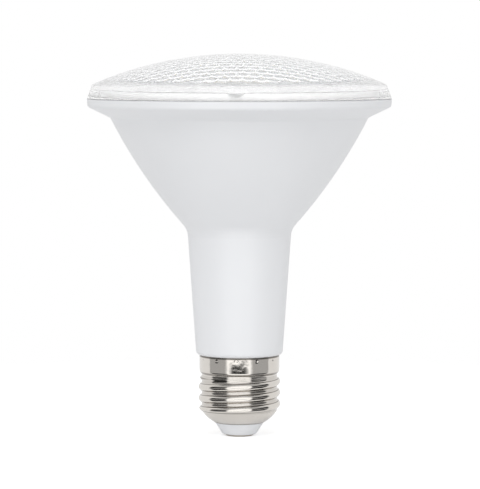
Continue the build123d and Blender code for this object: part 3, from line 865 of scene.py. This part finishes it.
def soft_lamp(name, place, size, power):
    """A square lamp that faces the middle of the object, and that no mirror or lens shows."""
    lamp = bpy.data.objects.new(name, bpy.data.lights.new(name, "AREA"))
    lamp.data.shape = "SQUARE"
    lamp.data.size = size
    lamp.data.energy = power
    lamp.location = place
    towards = Vector((0, 0, aim_height)) - lamp.location
    lamp.rotation_euler = towards.to_track_quat("-Z", "Y").to_euler()
    lamp.visible_glossy = False
    lamp.visible_transmission = False
    scene.collection.objects.link(lamp)
    print("lamp:", name, round(towards.length, 2), "m away,", power, "W")


soft_lamp("key", (-0.10, -0.85, 1.02), 0.6, 4.0)
soft_lamp("top", (0.0, 0.1, 1.2), 0.8, 1.6)

# %% [markdown]
# ## Studio: the room
#
# White plastic only needs light, but mirror-bright nickel and clear plastic show what stands round
# them, and in a plain white room they would look blank. Dark boards could stand in the scene, but
# they would shade the lamp as well. So the world is painted by the kind of ray that reaches it. The
# camera sees plain white. Rays that the metal mirrors see a round white card in front, dark boards at
# eye level on both sides and a dark ceiling, as photographers arrange them round a shiny thing, and
# the camera as a dark patch before the card. The other walls are pale, so the lens's edge, which
# mirrors the wall behind, stands out from the white. Rays that pass through the lens see a room as
# bright as the lamps make it, because they don't meet the lamps themselves. All other rays see an
# even light, stronger in front.

# %% Paint the room
world = bpy.data.worlds.new("room")
scene.world = world
world.use_nodes = True
room = Graph(world.node_tree)
path = room.add("ShaderNodeLightPath").socket.node
seen = Term(room, path.outputs["Is Camera Ray"])
mirror_ray = Term(room, path.outputs["Is Glossy Ray"])
lens_ray = Term(room, path.outputs["Is Transmission Ray"])

# Bearing is 0 degrees in front and 180 behind, and climb is 0 at eye level and 90 overhead
east, north, up = room.split(room.add("ShaderNodeTexCoord", output="Generated"))
bearing = east.math("ABSOLUTE").math("ARCTAN2", north * -1) * (180 / pi)
climb = up.math("ARCSINE") * (180 / pi)


def painted(level, patches):
    """The level, with each patch's tone where its mask is 1. Later patches cover earlier ones."""
    for mask, tone in patches:
        level = level + (tone - level) * mask
    return level


# The camera looks down on the cap, so upright metal mirrors what lies some degrees below eye level
cap_view = -7
card_reach, card_rise = 36, 52
card = (bearing / card_reach) ** 2 + ((climb - cap_view) / card_rise) ** 2
front = 1 - room.ramp(card, 0.6, 1.4)
sides = room.band(bearing, card_reach, 92, 4)
boards_above = sides * room.band(climb, 28, 62, 5)
dark_boards = sides * room.band(climb, -45, 28, 4)
grey_strip = sides * room.band(climb, -11, -1, 1.5)
ceiling = room.ramp(climb, 58, 66)
under_table = 1 - room.ramp(climb, -76, -68)
camera_patch = room.band(bearing, -10, 25, 8) * room.band(climb, -12, -5.7, 0.6)
pale_wall = 0.88
mirrored = painted(
    pale_wall,
    [
        (boards_above, 0.5),
        (dark_boards, 0.02),
        (grey_strip, 0.46),
        (front, 1.35),
        (ceiling, 0.03),
        (under_table, 0.03),
        (camera_patch, 0.02),
    ],
)

lit_ceiling = room.ramp(climb, 30, 50)
lit_front = room.band(bearing, -10, 75, 20) * room.band(climb, -95, 30, 8)
through = painted(1.2, [(lit_ceiling, 1.7), (lit_front, 2.4)])

walls = room.band(climb, -5, 40, 5)
front_wall = walls * (1 - room.ramp(bearing, 40, 60))
back_wall = walls * room.ramp(bearing, 100, 120)
low_wall = 1 - room.ramp(climb, -10, 0)
even = painted(0.58, [(low_wall, 0.77), (front_wall, 1.12), (back_wall, 0.70)])

level = painted(even, [(mirror_ray, mirrored), (lens_ray, through), (seen, 1.0)])
room.feed(world.node_tree.nodes["Background"].inputs["Color"], (1, 1, 1, 1))
room.feed(world.node_tree.nodes["Background"].inputs["Strength"], level)
print("room:", len(world.node_tree.nodes), "nodes")

# %% [markdown]
# ## Studio: the table
#
# The table is white and keeps the lamp's soft shadow. The camera sees it a little brighter than the
# light makes it, so that it runs into the white behind, and it fades out further off, because its
# edge would show as a horizon. For mirrored rays it ends at the lamp's foot: the bowl of the cap then
# shows white table, and the thread above the bowl shows the dark boards.

# %% Lay the table
table_half = 3.0
table_mesh = bpy.data.meshes.new("table")
corners = [(x * table_half, y * table_half, 0) for x, y in ((-1, -1), (1, -1), (1, 1), (-1, 1))]
table_mesh.from_pydata(corners, [], [(0, 1, 2, 3)])
table = bpy.data.objects.new("table", table_mesh)
table.location.z = cad_low[2]
scene.collection.objects.link(table)

matte_white = {"Base Color": (0.9, 0.9, 0.9, 1), "Roughness": 0.8, "Emission Strength": 1}
table_finish = Finish("table_white", matte_white)
cloth = table_finish.graph
table_path = cloth.add("ShaderNodeLightPath").socket.node
table_seen = Term(cloth, table_path.outputs["Is Camera Ray"])
table_mirrored = Term(cloth, table_path.outputs["Is Glossy Ray"])
table_glow = table_seen * 0.45 + table_mirrored * 0.10
table_finish.set("Emission Color", cloth.blend(table_glow, grey(0.0), grey(1.0)))
table_x, table_y, _ = cloth.split(table_finish.place)
reach = (table_x * table_x + table_y * table_y) ** 0.5
fade_from = painted(0.10, [(table_mirrored, 0.016)])
fade_to = painted(0.24, [(table_mirrored, 0.028)])
table_finish.set("Alpha", 1 - cloth.ramp(reach, fade_from, fade_to))
table_mesh.materials.append(table_finish.material)
print("table at height", round(table.location.z / mm, 2), "mm")
